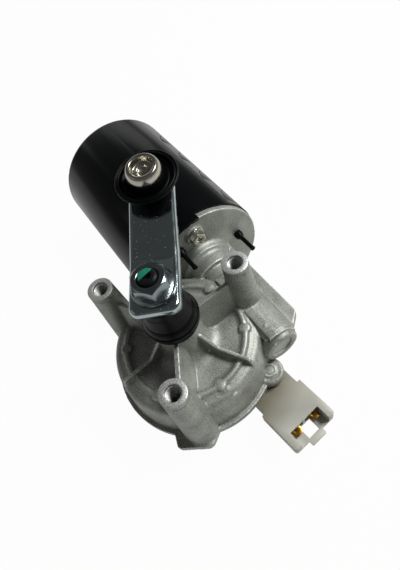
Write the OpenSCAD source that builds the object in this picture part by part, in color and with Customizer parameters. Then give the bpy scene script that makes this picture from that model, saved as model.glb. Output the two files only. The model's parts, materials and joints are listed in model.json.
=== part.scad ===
// Windscreen wiper motor with its worm gearbox, crank and ball stud.
// Origin: centre of the three mounting post tops, on the output shaft's axis.
// +Z runs out along the output shaft, +X away from the motor can, and the
// armature's axis is parallel to X on the +Y side.

/* [Mounting posts] */
// Pitch circle diameter of the three posts
post_pcd = 79; // [76:0.5:84]
// Height of the post tops over the gear case's face
post_h = 31.5; // [26:0.5:36]
// Outer diameter of a post at its top
post_d = 13.2; // [12:0.2:15]
// Radial draft of a post from its top to its foot
post_draft = 3.2; // [2:0.1:3.6]
// Core diameter of the M8 thread in a post
post_bore_d = 6.8; // [5:0.1:8]
// Depth of the threaded hole
post_bore_depth = 24; // [15:1:26]
// Direction of the first post, seen from the output side
post_turn = 330; // [320:1:340]

/* [Gear case] */
// Outer radius of the case's side wall where it meets the shoulder
case_r = 40; // [39:0.25:42]
// Depth from the face to the cover joint
case_depth = 28; // [26:0.5:32]
// Thickness of the face and side walls
case_wall = 3.2; // [2.4:0.1:3.6]
// Radius of the rounded shoulder between face and side wall
shoulder_r = 5; // [3:0.25:5.5]
// Radius of the raised bead ring on the face
bead_r = 32; // [30.5:0.25:33]
// Half width of the bead
bead_w = 1.9; // [1.4:0.1:2.2]
// Radius of the six nodules on the bead
nodule_r = 2.9; // [2.2:0.1:3.4]
// Outer radius of the cover flange
rim_r = 44.3; // [43.5:0.25:46]
// Thickness of the cover flange
rim_t = 4.6; // [3.5:0.1:5.5]
// Thickness of the thin radial ribs
rib_t = 1.8; // [1.4:0.1:2.6]
// Height of the webs to the posts over the face
web_h = 20; // [15:0.5:22]
// Thickness of a post web at its top edge
web_t = 2.4; // [2:0.1:3.5]

/* [Output tower] */
// Outer radius of the tower at its top
tower_r = 10.6; // [10:0.1:11.5]
// Height of the tower's top over the face
tower_h = 24; // [21:0.5:26]
// Diameter of the output shaft in its bushes
shaft_d = 12; // [10:0.5:13]
// Wall of the output bushes
bush_t = 2; // [1.5:0.1:2.5]
// Length of each output bush
bush_len = 11; // [8:0.5:13]

/* [Worm drive] */
// Distance between the armature's axis and the output axis
centre_dist = 38.5; // [38:0.1:39.5]
// Depth of the armature's axis under the gear case's face
worm_drop = 12.4; // [12:0.1:14]
// Number of teeth on the worm wheel
wheel_teeth = 60; // [54:1:66]
// Outside diameter of the worm
worm_d = 10; // [9:0.1:10.6]
// Pressure angle of the worm and the wheel
pressure_angle = 20; // [18:0.5:22]
// Face width of the wheel's teeth
wheel_w = 7; // [5:0.5:8]
// Play between the worm's thread and the teeth, on each flank
mesh_play = 0.15; // [0.1:0.01:0.2]
// Length of the worm's thread
worm_len = 20; // [16:1:24]
// Outer radius of the tube round the worm
tube_r = 10.2; // [9.8:0.1:11]

/* [Motor] */
// Outside diameter of the yoke
yoke_d = 78.4; // [77.5:0.1:80]
// Wall of the yoke
yoke_t = 2.5; // [2:0.1:3]
// Length of the yoke from its mouth to its far end
yoke_len = 108.5; // [100:1:120]
// Distance of the motor flange's face from the output axis
flange_x = 39.8; // [39:0.2:42]
// Thickness of the motor flange
flange_t = 3.6; // [3:0.1:5]
// Thickness of a magnet
magnet_t = 7.5; // [6:0.25:8]
// Gap between the magnets and the armature
air_gap = 0.8; // [0.5:0.05:1.2]
// Length of the armature's laminated core
core_len = 46; // [36:1:50]
// Number of armature slots
slots = 12; // [8:1:16]
// Diameter of the armature's shaft
arm_d = 10; // [10:0.1:11]
// Diameter of the commutator
commutator_d = 24; // [20:0.5:26]
// Length of the commutator
commutator_len = 16; // [12:0.5:17]

/* [Crank] */
// Distance from the output axis to the ball stud
crank_r = 55; // [45:1:62]
// Direction of the crank at rest
crank_angle = 148.3; // [130:0.1:170]
// Width of the crank arm
crank_w = 23; // [20:0.5:26]
// Thickness of the crank arm
crank_t = 4.5; // [3.5:0.25:6]
// Height of the arm's upper face at the nut, over the gear case's face
crank_h = 53.5; // [52:0.5:60]
// Bend of the arm between the nut and the ball stud, in degrees
crank_bend = 6; // [2:0.5:9]
// Diameter of the ball
ball_d = 18; // [16:0.1:20]
// Height of the ball's centre over the arm
ball_h = 8.8; // [8.2:0.1:11]
// Outer radius of the dust cup's lip
cup_r = 15.8; // [14.5:0.1:17]

/* [Nut and screws] */
// Width across the flats of the crank nut
nut_af = 15; // [14:0.5:17]
// Height of the crank nut with its flange
nut_h = 8.5; // [7.5:0.5:10]
// Diameter of the nut's flange
nut_flange_d = 20; // [18.5:0.1:22]
// Core diameter of the M5 cover screws
cover_screw_d = 5; // [4:0.1:5.2]
// Distance of the cover screws from the output axis
cover_screw_r = 43; // [42.5:0.25:44.5]

/* [Rear cover and connector] */
// Depth of the rear cover
cover_depth = 15; // [14:0.5:18]
// Wall of the rear cover
cover_t = 2.2; // [1.8:0.1:2.8]
// Width of the connector's body
plug_w = 28; // [26:0.5:30]
// Height of the connector's body
plug_h = 9; // [8:0.25:11]
// Length of the connector's body from its shoulder to its mouth
plug_len = 24.2; // [20:0.2:30]
// Turn of the connector from the motor's axis
plug_turn = 5.5; // [0:0.5:8]
// Width of a terminal blade
blade_w = 6.3; // [4.8:0.1:6.5]
// Distance between the two blades
blade_pitch = 12.6; // [12:0.1:14]

/* [Fits] */
// Radial running clearance of shafts in bushes
run = 0.05; // [0.03:0.01:0.09]
// Clearance between moving parts that never touch
clear = 0.4; // [0.3:0.05:0.8]
// Seating gap of pressed and moulded-in pieces
seat = 0.02; // [0.01:0.01:0.05]

/* [Hidden] */
$fn = 96;

// Levels, all measured from the mounting plane on the post tops
face_z = -post_h;
joint_z = face_z - case_depth;
axis_z = face_z - worm_drop;
axis_y = centre_dist;
post_r = post_pcd / 2;
post_angles = [post_turn, post_turn + 120, post_turn + 240];
rib_angles = [post_turn + 60, post_turn + 180, post_turn + 300];
bead_drop = 1.6;
plane_z = face_z - bead_drop;
ceiling_z = face_z - case_wall - bead_drop;
chamber_r = case_r - case_wall;
ear_r = 7.7;
ear_angles = [38, 142, post_turn - 120, post_turn];

// Worm and wheel, from the centre distance and the worm's diameter
module_mm = (2 * centre_dist - worm_d) / (wheel_teeth - 2);
worm_pitch_r = worm_d / 2 - module_mm;
worm_root_r = worm_pitch_r - 1.25 * module_mm;
worm_pitch = PI * module_mm;
lead = atan(module_mm / (2 * worm_pitch_r));
wheel_r = module_mm * wheel_teeth / 2;
wheel_tip_r = wheel_r + module_mm;
wheel_root_r = wheel_r - 1.25 * module_mm;

// Stations along the armature's axis
tube_end = 30.5;
worm_bore_r = worm_d / 2 + 1.8;
end_bush_x = sqrt(pow(wheel_tip_r, 2) - pow(centre_dist - worm_bore_r - clear, 2));
end_bush_len = 7;
yoke_x = -flange_x - flange_t;
yoke_r = yoke_d / 2;
yoke_in_r = yoke_r - yoke_t;
yoke_end = yoke_x - yoke_len;
flange_r = yoke_r - 0.7;
spigot_len = 3;
plate_x = yoke_x - spigot_len - 3.4;
plate_t = 2;
comm_x = plate_x - 3;
magnet_r = yoke_in_r - magnet_t;
core_r = magnet_r - air_gap;
core_end = comm_x - commutator_len - 11;
magnet_len = core_len + 8;
screw_offset = 28.6;
vent_offset = 26.3;
vent_angles = [11, 115];
neck_bush_r = 8.5;
neck_bush_x = -flange_x + 16;
bush_x_len = 9;
journal_r = 4;
ball_r = 2.5;
shaft_end = end_bush_x + end_bush_len + 1.2;
roll_r = 3.5;
cap_x = yoke_end + yoke_t;
standoff_r = 4.6;
comm_r = commutator_d / 2;
brush_x = plate_x - plate_t - 5;
magnet_half = 58;

// Output stack
shaft_r = shaft_d / 2;
bush_r = shaft_r + bush_t;
nut_r = nut_af / 2 / cos(30);
thread_r = 4.3;
crank_z = face_z + crank_h;
crank_low_z = crank_z - crank_t;
hub_r = 20;
hub_boss_r = 9.5;
hub_top = ceiling_z - 1.1;
bend_s = 14.3;
arm_end = 12.2;
stud_s = (crank_r - bend_s + ball_h * sin(crank_bend)) / cos(crank_bend);
wheel_low = axis_z - wheel_w / 2;
disc_t = 0.8;
disc_z = wheel_low - disc_t;
shaft_low = disc_z - 2.5;
tower_z = face_z + tower_h;
seal_t = 1.8;
ring_t = 1.1;
ring_z = tower_z - seal_t - ring_t - 0.6;
bush_top = ring_z - 0.3;
nut_z = crank_z;
shaft_top = crank_z + nut_h + 1.3;

// Cover and connector levels
gasket_t = 0.8;
cover_top = joint_z - gasket_t;
cover_low = joint_z - cover_depth;
cover_floor = cover_low + cover_t;
cover_rim_t = 3.2;
head_z = cover_top - cover_rim_t + 0.2;
cover_rim_r = rim_r - 1.3;
cover_ear_r = ear_r - 1.2;
pan_r = case_r - 0.6;
plug_x = 47.2;
plug_y = 22.75;
plug_top = face_z - 29.5;
plug_low = plug_top - plug_h;
plug_wall = 1.8;
neck_w = plug_w - 3.7;
neck_len = 15;
window_len = 17;
slot_w = 7.4;
socket_w = 19.8;
lip_len = 8.2;
blade_t = 0.8;
blade_z = plug_top - plug_h / 2;
blade_tip = plug_len - 4.8;

// Points along an arc from angle a0 to a1
function arc(cx, cy, r, a0, a1, n = 6) =
    [for (i = [0:n]) let (a = a0 + (a1 - a0) * i / n)
        [cx + r * cos(a), cy + r * sin(a)]];

// Children lie in the Y-Z plane round the armature's axis and grow along +X
module along_x(x) translate([x, axis_y, axis_z]) rotate([90, 0, 90]) children();

// A ring or disc along the armature's axis, from x0 to x1
module ring_x(x0, x1, r_out, r_in = 0)
    along_x(min(x0, x1)) ring(abs(x1 - x0), r_out, r_in);

module ring(h, r_out, r_in = 0) difference() {
    cylinder(h = h, r = r_out);
    if (r_in > 0) translate([0, 0, -1]) cylinder(h = h + 2, r = r_in);
}

module polar(r, a) rotate([0, 0, a]) translate([r, 0, 0]) children();

// ---- Gear case ----

// The bead springs from a low flat border
border_h = 0.45;
bead_a = asin((bead_w + border_h - bead_drop) / bead_w);
case_profile = concat(
    [[0, tower_h], [tower_r - 0.8, tower_h], [tower_r, tower_h - 0.8]],
    arc(tower_r + 9.4, 8 - bead_drop, 8, 180, 270, 8),
    [[bead_r - bead_w - 0.9, -bead_drop], [bead_r - bead_w - 0.9, border_h - bead_drop]],
    arc(bead_r, -bead_w, bead_w, 180 - bead_a, bead_a, 12),
    [[bead_r + bead_w + 0.9, border_h - bead_drop], [bead_r + bead_w + 0.9, -bead_drop]],
    arc(case_r - shoulder_r, -bead_drop - shoulder_r, shoulder_r, 90, 0),
    [[rim_r - 2.4, rim_t - case_depth - 1.2], [rim_r - 1.4, rim_t - case_depth],
     [rim_r - 0.6, rim_t - case_depth], [rim_r - 0.01, rim_t - case_depth - 0.6],
     [rim_r - 0.01, -case_depth], [0, -case_depth]]);

// Outline of the cover joint, cut back at x_cut where the motor flange stands
module cover_outline(r, ear, x_cut) difference() {
    union() {
        circle(r);
        for (a = ear_angles) polar(cover_screw_r, a) circle(ear);
    }
    translate([x_cut - 60, centre_dist - yoke_r - 1]) square([60, 100]);
}

// The second post stands on the worm's tube, the others on the cover flange
module posts() for (i = [0:2]) polar(post_r, post_angles[i]) {
    foot_z = i == 1 ? axis_z : joint_z;
    translate([0, 0, foot_z])
        cylinder(h = -foot_z - 0.6, r1 = post_d / 2 + post_draft * foot_z / joint_z, r2 = post_d / 2);
    translate([0, 0, -0.61]) cylinder(h = 0.61, r1 = post_d / 2, r2 = post_d / 2 - 0.6);
}

module post_holes() for (a = post_angles) polar(post_r, a) {
    translate([0, 0, -post_bore_depth]) cylinder(h = post_bore_depth + 1, r = post_bore_d / 2);
}

// Drafted wall from the tower to each post
module post_webs() for (a = post_angles) rotate([0, 0, a])
    translate([tower_r - 2, 0, plane_z]) rotate([90, 0, 90])
        linear_extrude(post_r - tower_r)
            polygon([[-web_t / 2 - 3, -1], [web_t / 2 + 3, -1],
                     [web_t / 2, web_h + bead_drop], [-web_t / 2, web_h + bead_drop]]);

module thin_ribs() for (a = rib_angles) rotate([0, 0, a]) translate([0, rib_t / 2, face_z])
    rotate([90, 0, 0]) linear_extrude(rib_t)
        polygon([[tower_r - 2, 14], [tower_r + 2, 13.4], [tower_r + 10, 4], [bead_r + 5.5, 3.2],
                 [case_r + 0.5, -8], [bead_r, -8], [tower_r, -2.5]]);

module nodules() for (i = [0:5]) polar(bead_r, post_turn + 30 + 60 * i) translate([0, 0, face_z]) {
    translate([0, 0, -nodule_r + 0.5]) sphere(nodule_r, $fn = 40);
    translate([0, 0, -bead_drop - 1]) cylinder(h = border_h + 1, r = nodule_r + 1.1);
}

// Deck over the worm, its round tube and the gusset from the second post
deck_y = centre_dist + 7.8;
module worm_housing() {
    ring_x(-flange_x, tube_end, tube_r);
    translate([-18, post_r - 6, axis_z])
        cube([18 + tube_end - 1, deck_y - post_r + 6, face_z - 0.3 - axis_z]);
    for (d = [[21.6, 36.4], [26.8, 41.6]]) translate([d[0], d[1], face_z - 1])
        cylinder(h = 1, r = 0.8);
    hull() {
        translate([-0.5, post_r + 5, axis_z]) cube([1, 2.6, face_z + 25.8 - axis_z]);
        translate([tube_end - 1.2, 0, 0]) rotate([90, 0, 90]) linear_extrude(1)
            polygon([[deck_y, axis_z + 2], [deck_y, face_z], [deck_y + 3.5, face_z + 10.6],
                [deck_y + 5.8, face_z + 10.2], [deck_y + 3.4, axis_z + 4]]);
    }
}

neck_profile = concat(
    [[0, -14], [14.6, -14], [14.6, -7.4]], arc(17.6, -7.4, 3, 180, 110, 4),
    [[16.8, -3]], arc(20.8, -3, 4, 180, 90, 5), [[20.8, 2], [0, 2]]);

// The neck and the round flange that the motor is fixed to
module motor_flange() {
    along_x(-flange_x) mirror([0, 0, 1]) rotate_extrude() polygon(neck_profile);
    ring_x(yoke_x, -flange_x, flange_r);
    ring_x(yoke_x - spigot_len, yoke_x + 0.5, yoke_in_r - 0.1, yoke_in_r - 4);
    ring_x(yoke_x - spigot_len, yoke_x + 0.5, neck_bush_r + 5);
    for (s = [-1, 1]) translate([0, 0, s * screw_offset]) {
        ring_x(plate_x, yoke_x + 0.5, standoff_r);
        ring_x(-flange_x - 0.5, -flange_x + 1.2, 5.6);
    }
}

// Recesses in the flange's rim where the yoke's tabs are staked over it
tab_half = 15.4;
tab_turn = 97;
module tab_sector(r, grow) for (a = [tab_turn, tab_turn + 180]) rotate([0, 0, a])
    polygon([[0, 0], [r, -r * tan(tab_half + grow)], [r, r * tan(tab_half + grow)]]);

module flange_cuts() {
    along_x(yoke_x - 0.02) linear_extrude(flange_t + 1) intersection() {
        difference() { circle(yoke_r + 2); circle(yoke_in_r - 0.1); }
        tab_sector(60, 0.3);
    }
    for (s = [-1, 1]) translate([0, 0, s * screw_offset])
        ring_x(plate_x - 1, -flange_x + 3, 2.6);
    for (a = vent_angles)
        translate([0, vent_offset * cos(a), vent_offset * sin(a)])
            ring_x(yoke_x - spigot_len - 1, -flange_x + 1, 1.6);
}

module gear_housing() color("silver") difference() {
    union() {
        translate([0, 0, face_z]) rotate_extrude() polygon(case_profile);
        translate([0, 0, joint_z]) linear_extrude(rim_t)
            cover_outline(rim_r, ear_r, -flange_x - 0.5);
        nodules();
        posts();
        post_webs();
        thin_ribs();
        worm_housing();
        motor_flange();
        for (a = ear_angles) polar(cover_screw_r, a) translate([0, 0, joint_z]) {
cylinder(h = rim_t + 0.6, r1 = ear_r - 0.2, r2 = ear_r - 0.7);
            cylinder(h = rim_t + 1.2, r = 3.7);
        }
    }
    post_holes();
    // Wheel chamber, tower bore and worm bore
    translate([0, 0, joint_z - 1]) cylinder(h = ceiling_z - joint_z + 1, r = chamber_r);
    translate([0, 0, ceiling_z - 1]) cylinder(h = -ceiling_z, r = bush_r);
    ring_x(-flange_x + 1, tube_end + 1, worm_bore_r);
    ring_x(yoke_x - spigot_len - 1, neck_bush_x, neck_bush_r);
    for (a = ear_angles) polar(cover_screw_r, a)
        translate([0, 0, joint_z - 1]) cylinder(h = rim_t + 9, r = cover_screw_d / 2);
    ring_x(yoke_x - 3, yoke_x, yoke_r + 3, yoke_in_r - 0.1);
    flange_cuts();
}

// ---- Rear cover and its fastening ----

module cover_gasket() color("dimgray") translate([0, 0, cover_top])
    linear_extrude(gasket_t) difference() {
        cover_outline(cover_rim_r, cover_ear_r, -flange_x + clear);
        circle(chamber_r + 0.4);
        for (a = ear_angles) polar(cover_screw_r, a) circle(cover_screw_d / 2 + 0.2);
    }

module pan_profile() polygon([[0, cover_low], [pan_r - 3, cover_low], [pan_r - 0.9, cover_low + 0.9],
    [pan_r, cover_low + 3], [pan_r + 0.6, cover_top], [0, cover_top]]);

module rear_cover() color("#232627") difference() {
    union() {
        rotate_extrude() pan_profile();
        translate([0, 0, cover_top - cover_rim_t]) linear_extrude(cover_rim_t)
            cover_outline(cover_rim_r, cover_ear_r, -flange_x + clear);
        // Ribs that brace the screw ears
        for (a = ear_angles) rotate([0, 0, a]) translate([pan_r - 2, 0, cover_top - 1])
            rotate([90, 0, 0]) linear_extrude(2.4, center = true)
                polygon([[0, 0], [5, 0], [5, -cover_rim_t], [0, -cover_depth + 3.4]]);
        translate([0, 0, cover_low - 0.8]) rotate_extrude()
            polygon([[12, 0], [14, 0], [15, 0.9], [11, 0.9]]);
    }
    difference() {
        translate([0, 0, cover_floor]) cylinder(h = cover_depth, r = pan_r - cover_t);
        // Bosses that the contact carrier stands on, and ribs across the floor
        for (a = carrier_posts) polar(carrier_post_r, a)
            translate([0, 0, cover_floor - 1]) cylinder(h = carrier_z - cover_floor + 1, r = 3.2);
        for (a = [0:60:179]) rotate([0, 0, a]) translate([-pan_r, -0.9, cover_floor - 1])
            cube([2 * pan_r, 1.8, 2.2]);
    }
    for (a = carrier_posts) polar(carrier_post_r, a)
        translate([0, 0, carrier_z - 8]) cylinder(h = 9, r = 1.25);
    for (a = ear_angles) polar(cover_screw_r, a)
        translate([0, 0, cover_low - 1]) cylinder(h = cover_depth + 2, r = cover_screw_d / 2 + 0.3);
    for (a = ear_angles) polar(cover_screw_r, a) translate([0, 0, cover_low - 1])
        cylinder(h = head_z - cover_low + 1, r = 5.4);
    // Window for the connector's neck
    at_plug() translate([-window_len, -neck_w / 2, plug_low])
        cube([window_len + 5, neck_w, plug_h]);
}

module cover_screws() color("silver") for (a = ear_angles) polar(cover_screw_r, a) {
    translate([0, 0, head_z - 0.8]) ring(0.8, 4.8);
    difference() {
        translate([0, 0, head_z - 4.3]) cylinder(h = 3.6, r = 4 / cos(30), $fn = 6);
        translate([0, 0, head_z - 4.4]) {
            translate([-2.4, -0.5, 0]) cube([4.8, 1, 1.4]);
            translate([-0.5, -2.4, 0]) cube([1, 4.8, 1.4]);
        }
    }
    translate([0, 0, head_z - 0.1])
        cylinder(h = joint_z + rim_t + 1 - head_z, r = cover_screw_d / 2 - seat);
}

// ---- Motor ----

// Stake marks at the yoke's far end
stakes = [63, 104, 145, 225, 280, 330];

// Seam of the rolled strip: each tongue as [x, angle] points along its edge
seam_p = 23.5;
tongue = [[0, 31], [2.2, 35.4], [5.5, 39.2], [9.4, 41.8], [12.4, 42.4], [13.6, 38], [13.6, 31],
    [seam_p, 31]];
module seam() for (i = [0:3]) for (k = [0:len(tongue) - 2]) {
    p = tongue[k];
    q = tongue[k + 1];
    dx = q[0] - p[0];
    dy = (q[1] - p[1]) * PI / 180 * yoke_r;
    along_x(yoke_x - 12.5 - seam_p * (3 - i) - 5.1 + p[0] + dx / 2)
        rotate([0, 0, (p[1] + q[1]) / 2]) translate([yoke_r, 0, 0])
            rotate([-atan2(dy, dx), 0, 0])
                cube([1.3, 0.5, norm([dx, dy]) + 0.3], center = true);
}

module motor_yoke() color("#1d2224") difference() {
    union() {
        along_x(yoke_end) rotate_extrude() polygon(concat(
            arc(yoke_r - roll_r, roll_r, roll_r, 270, 360, 8),
            [[yoke_r, yoke_len], [yoke_in_r, yoke_len], [yoke_in_r, yoke_t],
             [yoke_r - roll_r - 2, yoke_t], [yoke_r - roll_r - 2, 0]]));
        // Tabs staked over the motor flange
        intersection() {
            along_x(yoke_x - 1) linear_extrude(flange_t + 2.1) tab_sector(60, 0);
            along_x(yoke_x - 1) rotate_extrude() polygon([[yoke_in_r, 0], [yoke_r, 0],
                [yoke_r, flange_t + 0.7], [yoke_r - 0.5, flange_t + 1.2],
                [yoke_in_r, flange_t + 1.2]]);
        }
    }
    for (a = stakes) along_x(yoke_end + 1) rotate([0, 0, a])
        translate([yoke_r - 1, -1.1, 0]) cube([3, 2.2, 2.2]);
    seam();
}

module yoke_end_cap() color("#1d2224") along_x(yoke_end) difference() {
    rotate_extrude() polygon([[0, 1.2], [8, 1.2], [9, 0.2], [26, 0.2], [29.5, yoke_t],
        [yoke_in_r - seat, yoke_t], [yoke_in_r - seat, yoke_t + 1.8], [28.7, yoke_t + 1.8],
        [25.4, 2], [10.4, 2], [9.8, 2.6], [9.8, 12], [neck_bush_r, 12], [neck_bush_r, 3],
        [0, 3]]);
}

module end_bush() color("#b08d57") ring_x(yoke_end + 3, yoke_end + 3 + bush_x_len,
    neck_bush_r - seat, arm_d / 2 + run);

module neck_bush() color("#b08d57") ring_x(neck_bush_x - bush_x_len, neck_bush_x,
    neck_bush_r - seat, arm_d / 2 + run);

module worm_end_bush() color("#b08d57") ring_x(end_bush_x, end_bush_x + end_bush_len,
    worm_bore_r - seat, journal_r + run);

module thrust_plug() color("#e8e6dc") {
    ring_x(shaft_end + ball_r - 0.4, tube_end + 0.2, worm_bore_r - seat);
    ring_x(tube_end + 0.1, tube_end + 0.6, worm_bore_r - 0.8);
}

// Ferrite segment magnets and the clips that spread them against the yoke
module ring_sector(x0, x1, r_in, r_out, mid, half) intersection() {
    ring_x(x0, x1, r_out, r_in);
    along_x(min(x0, x1) - 1) rotate([0, 0, mid]) linear_extrude(abs(x1 - x0) + 2)
        polygon([[0, 0], [80 * cos(half), -80 * sin(half)], [160, 0], [80 * cos(half), 80 * sin(half)]]);
}

magnet_x0 = core_end + 4;
module magnets() color("#3c3f41") for (a = [0, 180])
    ring_sector(magnet_x0 - magnet_len, magnet_x0, magnet_r, yoke_in_r - seat, a, magnet_half);

module magnet_clips() color("silver") for (a = [90, 270]) {
    ring_sector(magnet_x0 - magnet_len + 6, magnet_x0 - 6, yoke_in_r - 1.2, yoke_in_r - seat,
        a, 90 - magnet_half - 0.6);
    for (s = [-1, 1])
        ring_sector(magnet_x0 - magnet_len + 6, magnet_x0 - 6, magnet_r + 1.5, yoke_in_r - 0.6,
            a + s * (90 - magnet_half - 1.6), 0.9);
}

module vent_plugs() color("#101212") for (a = vent_angles)
    translate([0, vent_offset * cos(a), vent_offset * sin(a)]) {
        ring_x(yoke_x - 1.6, yoke_x, 2.4);
        ring_x(yoke_x - 0.1, -flange_x + 1, 1.6 - seat);
        ring_x(-flange_x, -flange_x + 0.6, 2.2);
        along_x(-flange_x + 2.3) sphere(2.45, $fn = 40);
        ring_x(-flange_x + 3, -flange_x + 13.6, 1.35);
        along_x(-flange_x + 13.5) cylinder(h = 2.2, r1 = 1.2, r2 = 1.5);
    }

module brush_plate_screws() color("silver") for (s = [-1, 1])
    translate([0, 0, s * screw_offset]) {
        head_x = -flange_x + 1.2;
        ring_x(head_x, head_x + 0.9, 5.2);
        difference() {
            along_x(head_x) rotate([0, 0, 30]) cylinder(h = 4.4, r = 4 / cos(30), $fn = 6);
            along_x(head_x + 3.2) {
                translate([-2.3, -0.45, 0]) cube([4.6, 0.9, 2]);
                translate([-0.45, -2.3, 0]) cube([0.9, 4.6, 2]);
            }
        }
        ring_x(plate_x - plate_t - 1, head_x + 0.1, 2.5);
    }

module brush_plate() color("#6b4a2a") along_x(plate_x - plate_t) difference() {
    ring(plate_t, yoke_in_r - 2, comm_r + 2.5);
    for (s = [-1, 1]) translate([0, s * screw_offset, -1]) cylinder(h = plate_t + 2, r = 2.5 + seat);
    for (a = [35, 145, 215, 325]) rotate([0, 0, a]) translate([26, 0, -1])
        cylinder(h = plate_t + 2, r = 3.2);
}

brush_w = 6;
brush_h = 7;
holder_t = 1;
holder_r0 = comm_r + 1.6;
holder_r1 = 32.5;
brush_len = 11;

// Box guides riveted to the brush plate, open towards the commutator
module brush_holders() color("#b89b4b") for (a = [0, 180]) along_x(plate_x - plate_t)
    rotate([0, 0, a]) difference() {
        translate([holder_r0, -brush_w / 2 - holder_t - 0.1, -brush_h - 3])
            cube([holder_r1 - holder_r0, brush_w + 2 * holder_t + 0.2, brush_h + 3]);
        translate([holder_r0 - 1, -brush_w / 2 - 0.1, -brush_h - 1.6])
            cube([holder_r1 - holder_r0 - 0.5, brush_w + 0.2, brush_h + 0.2]);
        translate([holder_r0 - 1, -1.4, -brush_h - 4]) cube([14, 2.8, 3]);
    }

module carbon_brushes() color("#2b2b2b") for (a = [0, 180]) along_x(plate_x - plate_t)
    rotate([0, 0, a]) difference() {
        translate([comm_r - 1, -brush_w / 2, -brush_h - 1.5])
            cube([brush_len + 1, brush_w, brush_h]);
        translate([0, 0, -brush_h - 3]) cylinder(h = brush_h + 4, r = comm_r + 0.2);
    }

spring_len = holder_r1 - 1.5 - comm_r - brush_len - 0.3;
module brush_springs() color("lightgray") for (a = [0, 180]) along_x(plate_x - plate_t)
    rotate([0, 0, a]) translate([comm_r + brush_len + 0.2, 0, -brush_h / 2 - 1.5])
        rotate([0, 90, 0])
            linear_extrude(spring_len, twist = -360 * 4, slices = 40, segments = 0, $fn = 0)
                translate([2.2, 0]) circle(0.55, $fn = 8);

module chokes() color("#b5652b") for (a = [52, 232]) along_x(plate_x - plate_t)
    rotate([0, 0, a]) translate([27.5, 0, 0]) mirror([0, 0, 1]) {
        cylinder(h = 15, r = 2.2);
        for (i = [0:7]) translate([0, 0, 1.4 + 1.55 * i]) rotate_extrude()
            translate([2.6, 0]) circle(0.75, $fn = 16);
    }

// ---- Armature ----

// Polar section of the single-start thread: one pitch of the axial profile
thread_flank = (worm_d / 2 - worm_root_r) * tan(pressure_angle);
crest_half = worm_pitch / 4 - mesh_play - (worm_d / 2 - worm_pitch_r) * tan(pressure_angle);
crest_a = 360 * crest_half / worm_pitch;
flank_a = 360 * thread_flank / worm_pitch;
function thread_r_at(u) = abs(u) <= crest_a ? worm_d / 2
    : abs(u) >= crest_a + flank_a ? worm_root_r
    : worm_d / 2 - (abs(u) - crest_a) / flank_a * (worm_d / 2 - worm_root_r);
thread_u = concat([for (i = [-2:2]) crest_a * i / 2],
    [for (i = [1:6]) crest_a + flank_a * i / 6],
    [180 - (180 - crest_a - flank_a) / 3, 180 + (180 - crest_a - flank_a) / 3],
    [for (i = [6:-1:1]) 360 - crest_a - flank_a * i / 6]);

module worm() along_x(-worm_len / 2)
    rotate([0, 0, 180 - 180 * worm_len / worm_pitch])
        linear_extrude(worm_len, twist = -360 * worm_len / worm_pitch,
            slices = ceil(16 * worm_len / worm_pitch), segments = 0, $fn = 0)
            polygon([for (u = thread_u)
                let (r = thread_r_at(u > 180 ? u - 360 : u)) [r * cos(u), r * sin(u)]]);

module armature_shaft() color("#9da3a6") difference() {
    union() {
        worm();
        ring_x(worm_len / 2 - 0.4, worm_len / 2 + 2.2, worm_root_r + 0.5);
        ring_x(worm_len / 2 + 1.8, shaft_end, journal_r);
        ring_x(-worm_len / 2 - 5, -worm_len / 2 + 0.4, worm_root_r + 0.5);
        ring_x(yoke_end + 3.6, -worm_len / 2 - 4.6, arm_d / 2);
    }
    ring_x(shaft_end - ball_r - 0.6, shaft_end + 1, ball_r + 0.05);
}

module thrust_ball() color("lightgray") along_x(shaft_end - 0.5) sphere(ball_r, $fn = 48);

slot_r = core_r - 1.4;
module armature_core() color("#55595b") along_x(core_end - core_len) difference() {
    ring(core_len, core_r, arm_d / 2 + seat);
    for (i = [0:slots - 1]) rotate([0, 0, (i + 0.5) * 360 / slots]) translate([0, 0, -1]) {
        translate([14, -2.6, 0]) cube([slot_r - 14 - 1.2, 5.2, core_len + 2]);
        translate([slot_r - 2, -1, 0]) cube([5, 2, core_len + 2]);
    }
}

// Coil ends stand out of both faces and fill the slots between them
module armature_windings() color("#a5572a") {
    along_x(core_end - core_len - 1) for (i = [0:slots - 1])
        rotate([0, 0, (i + 0.5) * 360 / slots])
            translate([14.2, -2.4, 0]) cube([slot_r - 14 - 1.8, 4.8, core_len + 2]);
    for (m = [0, 1]) translate([m == 0 ? core_end : core_end - core_len, 0, 0])
        along_x(0) mirror([0, 0, m]) rotate_extrude() polygon(concat(
            [[arm_d / 2 + 3, 0.3], [slot_r - 3.4, 0.3]],
            arc(slot_r - 7.4, 4.6, 4.4, 0, 90, 5), arc(arm_d / 2 + 6, 6, 3, 90, 180, 4)));
}

module commutator() color("#b87333") along_x(comm_x - commutator_len) difference() {
    union() {
        ring(commutator_len, comm_r, comm_r - 3);
        ring(2.2, comm_r + 1.6, comm_r - 3);
    }
    for (i = [0:slots - 1]) rotate([0, 0, i * 360 / slots])
        translate([comm_r - 1.2, -0.35, -1]) cube([6, 0.7, commutator_len + 2]);
}

module commutator_hub() color("#3a2a20") along_x(comm_x - commutator_len + 1)
    ring(commutator_len - 1, comm_r - 3 - seat, arm_d / 2 + seat);

// ---- Output shaft, wheel and crank ----

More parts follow.
